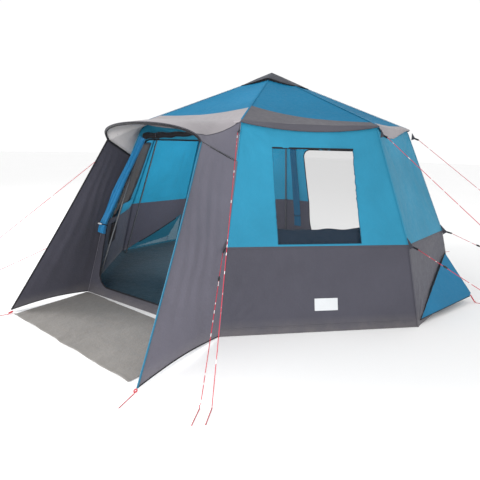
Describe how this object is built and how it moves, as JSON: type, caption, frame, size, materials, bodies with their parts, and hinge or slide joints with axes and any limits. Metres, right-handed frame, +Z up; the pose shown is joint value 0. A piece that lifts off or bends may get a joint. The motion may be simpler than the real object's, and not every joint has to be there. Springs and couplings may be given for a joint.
{
  "type": "pop up tent",
  "caption": "Octagonal quick-up family tent with a folding hub frame, telescopic legs, fabric walls, mesh windows, a roof with a vent cap and a front porch with an awning.",
  "frame": {"origin": "on the ground at the middle of the floor", "axes": "+Z up, -Y towards the front door and porch, +X to the right seen from the front"},
  "size_m": [6.929, 6.24, 2.272],
  "materials": {
    "blue_fabric": "coated polyester, satin",
    "grey_fabric": "coated polyester, satin",
    "light_fabric": "silver-grey coated polyester, satin",
    "dark_fabric": "dark grey coated polyester, satin",
    "mesh_fabric": "black no-see-um netting",
    "floor_fabric": "coated groundsheet",
    "mat_fabric": "woven groundsheet",
    "red_cord": "braided guy cord with pale flecks",
    "red_webbing": "woven webbing",
    "steel_tube": "grey powder-coated steel",
    "black_plastic": "moulded nylon",
    "pull_ring": "moulded red nylon",
    "peg_metal": "red painted steel wire",
    "pole_sleeve": "black pole sleeve"
  },
  "bodies": {
    "ground_side": {"floor": "floor_fabric", "lower_wall_front": "grey_fabric", "lower_wall_front_right": "grey_fabric", "lower_wall_right": "grey_fabric", "lower_wall_rear_right": "grey_fabric", "lower_wall_rear": "grey_fabric", "lower_wall_rear_left": "grey_fabric", "lower_wall_left": "grey_fabric", "lower_wall_front_left": "grey_fabric", "upper_wall_front": "blue_fabric", "upper_wall_front_right": "blue_fabric", "upper_wall_right": "blue_fabric", "upper_wall_rear_right": "blue_fabric", "upper_wall_rear": "blue_fabric", "upper_wall_rear_left": "blue_fabric", "upper_wall_left": "blue_fabric", "upper_wall_front_left": "blue_fabric", "front_door": "blue_fabric", "rear_door": "blue_fabric", "window_meshes": "mesh_fabric", "window_curtains": "blue_fabric", "vent_meshes": "mesh_fabric", "porch_wall_right": "grey_fabric", "porch_wall_left": "grey_fabric", "porch_mat": "mat_fabric", "storage_pocket": "mesh_fabric", "door_mesh_roll": "mesh_fabric", "knee_patches": "dark_fabric", "knee_guy_lines": "red_cord", "eave_guy_lines": "red_cord", "guy_runners": "black_plastic", "pegs": "peg_metal", "peg_loops": "red_webbing"},
    "roof_side": {"hub": "black_plastic", "roof_arms": "steel_tube", "elbow_brackets": "black_plastic", "roof_canopy": "blue_fabric", "vent_cap": "dark_fabric", "awning": "light_fabric", "awning_pole": "pole_sleeve", "eave_patches": "dark_fabric"},
    "hub_lock": {"hub_collar": "pull_ring"},
    "flap_right": {"vent_flap_right": "blue_fabric"},
    "flap_left": {"vent_flap_left": "blue_fabric"},
    "leg_1": {"upper_leg_1": "steel_tube"},
    "foot_1": {"lower_leg_1": "steel_tube"},
    "leg_2": {"upper_leg_2": "steel_tube"},
    "foot_2": {"lower_leg_2": "steel_tube"},
    "leg_3": {"upper_leg_3": "steel_tube"},
    "foot_3": {"lower_leg_3": "steel_tube"},
    "leg_4": {"upper_leg_4": "steel_tube"},
    "foot_4": {"lower_leg_4": "steel_tube"},
    "leg_5": {"upper_leg_5": "steel_tube"},
    "foot_5": {"lower_leg_5": "steel_tube"},
    "leg_6": {"upper_leg_6": "steel_tube"},
    "foot_6": {"lower_leg_6": "steel_tube"},
    "leg_7": {"upper_leg_7": "steel_tube"},
    "foot_7": {"lower_leg_7": "steel_tube"},
    "leg_8": {"upper_leg_8": "steel_tube"},
    "foot_8": {"lower_leg_8": "steel_tube"}
  },
  "joints": [
    {"name": "roof_lower", "type": "slide", "parent": "ground_side", "child": "roof_side", "axis": [0, 0, 1], "range_m": [-0.6, 0], "deforming": ["lower_wall_front", "lower_wall_front_right", "lower_wall_right", "lower_wall_rear_right", "lower_wall_rear", "lower_wall_rear_left", "lower_wall_left", "lower_wall_front_left", "upper_wall_front", "upper_wall_front_right", "upper_wall_right", "upper_wall_rear_right", "upper_wall_rear", "upper_wall_rear_left", "upper_wall_left", "upper_wall_front_left", "front_door", "rear_door", "window_meshes", "window_curtains", "vent_meshes", "porch_wall_right", "porch_wall_left", "storage_pocket", "door_mesh_roll", "knee_patches", "knee_guy_lines", "eave_guy_lines", "guy_runners"]},
    {"name": "hub_lock_slide", "type": "slide", "parent": "roof_side", "child": "hub_lock", "axis": [0, 0, 1], "range_m": [-0.03, 0]},
    {"name": "leg_1_fold", "type": "hinge", "parent": "roof_side", "child": "leg_1", "pos_m": [-0.602, -1.2852, 1.64], "axis": [0.9056, -0.4242, 0], "range_deg": [-9.39, 0]},
    {"name": "leg_1_telescope", "type": "slide", "parent": "leg_1", "child": "foot_1", "axis": [-0.1324, -0.2826, -0.9501], "range_m": [-0.559, 0]},
    {"name": "leg_2_fold", "type": "hinge", "parent": "roof_side", "child": "leg_2", "pos_m": [0.602, -1.2852, 1.64], "axis": [0.9056, 0.4242, 0], "range_deg": [-9.39, 0]},
    {"name": "leg_2_telescope", "type": "slide", "parent": "leg_2", "child": "foot_2", "axis": [0.1324, -0.2826, -0.9501], "range_m": [-0.559, 0]},
    {"name": "leg_3_fold", "type": "hinge", "parent": "roof_side", "child": "leg_3", "pos_m": [1.3902, -0.385, 1.64], "axis": [0.2669, 0.9637, 0], "range_deg": [-9.49, 0]},
    {"name": "leg_3_telescope", "type": "slide", "parent": "leg_3", "child": "foot_3", "axis": [0.3052, -0.0845, -0.9485], "range_m": [-0.558, 0]},
    {"name": "leg_4_fold", "type": "hinge", "parent": "roof_side", "child": "leg_4", "pos_m": [1.3902, 0.385, 1.64], "axis": [-0.2669, 0.9637, 0], "range_deg": [-9.49, 0]},
    {"name": "leg_4_telescope", "type": "slide", "parent": "leg_4", "child": "foot_4", "axis": [0.3052, 0.0845, -0.9485], "range_m": [-0.558, 0]},
    {"name": "leg_5_fold", "type": "hinge", "parent": "roof_side", "child": "leg_5", "pos_m": [0.602, 1.2852, 1.64], "axis": [-0.9056, 0.4242, 0], "range_deg": [-9.39, 0]},
    {"name": "leg_5_telescope", "type": "slide", "parent": "leg_5", "child": "foot_5", "axis": [0.1324, 0.2826, -0.9501], "range_m": [-0.559, 0]},
    {"name": "leg_6_fold", "type": "hinge", "parent": "roof_side", "child": "leg_6", "pos_m": [-0.602, 1.2852, 1.64], "axis": [-0.9056, -0.4242, 0], "range_deg": [-9.39, 0]},
    {"name": "leg_6_telescope", "type": "slide", "parent": "leg_6", "child": "foot_6", "axis": [-0.1324, 0.2826, -0.9501], "range_m": [-0.559, 0]},
    {"name": "leg_7_fold", "type": "hinge", "parent": "roof_side", "child": "leg_7", "pos_m": [-1.3902, 0.385, 1.64], "axis": [-0.2669, -0.9637, 0], "range_deg": [-9.49, 0]},
    {"name": "leg_7_telescope", "type": "slide", "parent": "leg_7", "child": "foot_7", "axis": [-0.3052, 0.0845, -0.9485], "range_m": [-0.558, 0]},
    {"name": "leg_8_fold", "type": "hinge", "parent": "roof_side", "child": "leg_8", "pos_m": [-1.3902, -0.385, 1.64], "axis": [0.2669, -0.9637, 0], "range_deg": [-9.49, 0]},
    {"name": "leg_8_telescope", "type": "slide", "parent": "leg_8", "child": "foot_8", "axis": [-0.3052, -0.0845, -0.9485], "range_m": [-0.558, 0]},
    {"name": "vent_flap_right_lift", "type": "hinge", "parent": "ground_side", "child": "flap_right", "pos_m": [1.97877, -0.492, 0.04351], "axis": [0.0933, -0.9144, -0.3938], "range_deg": [-25, 30]},
    {"name": "vent_flap_left_lift", "type": "hinge", "parent": "ground_side", "child": "flap_left", "pos_m": [-1.97877, -0.492, 0.04351], "axis": [0.0933, 0.9144, 0.3938], "range_deg": [-25, 30]}
  ],
  "couplings": [
    {"joint": "leg_1_fold", "follows": "roof_lower", "rad_per_m": 0.26866},
    {"joint": "leg_1_telescope", "follows": "roof_lower", "ratio": 0.92485},
    {"joint": "leg_2_fold", "follows": "roof_lower", "rad_per_m": 0.26866},
    {"joint": "leg_2_telescope", "follows": "roof_lower", "ratio": 0.92485},
    {"joint": "leg_3_fold", "follows": "roof_lower", "rad_per_m": 0.27171},
    {"joint": "leg_3_telescope", "follows": "roof_lower", "ratio": 0.92265},
    {"joint": "leg_4_fold", "follows": "roof_lower", "rad_per_m": 0.27171},
    {"joint": "leg_4_telescope", "follows": "roof_lower", "ratio": 0.92265},
    {"joint": "leg_5_fold", "follows": "roof_lower", "rad_per_m": 0.26866},
    {"joint": "leg_5_telescope", "follows": "roof_lower", "ratio": 0.92485},
    {"joint": "leg_6_fold", "follows": "roof_lower", "rad_per_m": 0.26866},
    {"joint": "leg_6_telescope", "follows": "roof_lower", "ratio": 0.92485},
    {"joint": "leg_7_fold", "follows": "roof_lower", "rad_per_m": 0.27171},
    {"joint": "leg_7_telescope", "follows": "roof_lower", "ratio": 0.92265},
    {"joint": "leg_8_fold", "follows": "roof_lower", "rad_per_m": 0.27171},
    {"joint": "leg_8_telescope", "follows": "roof_lower", "ratio": 0.92265}
  ]
}
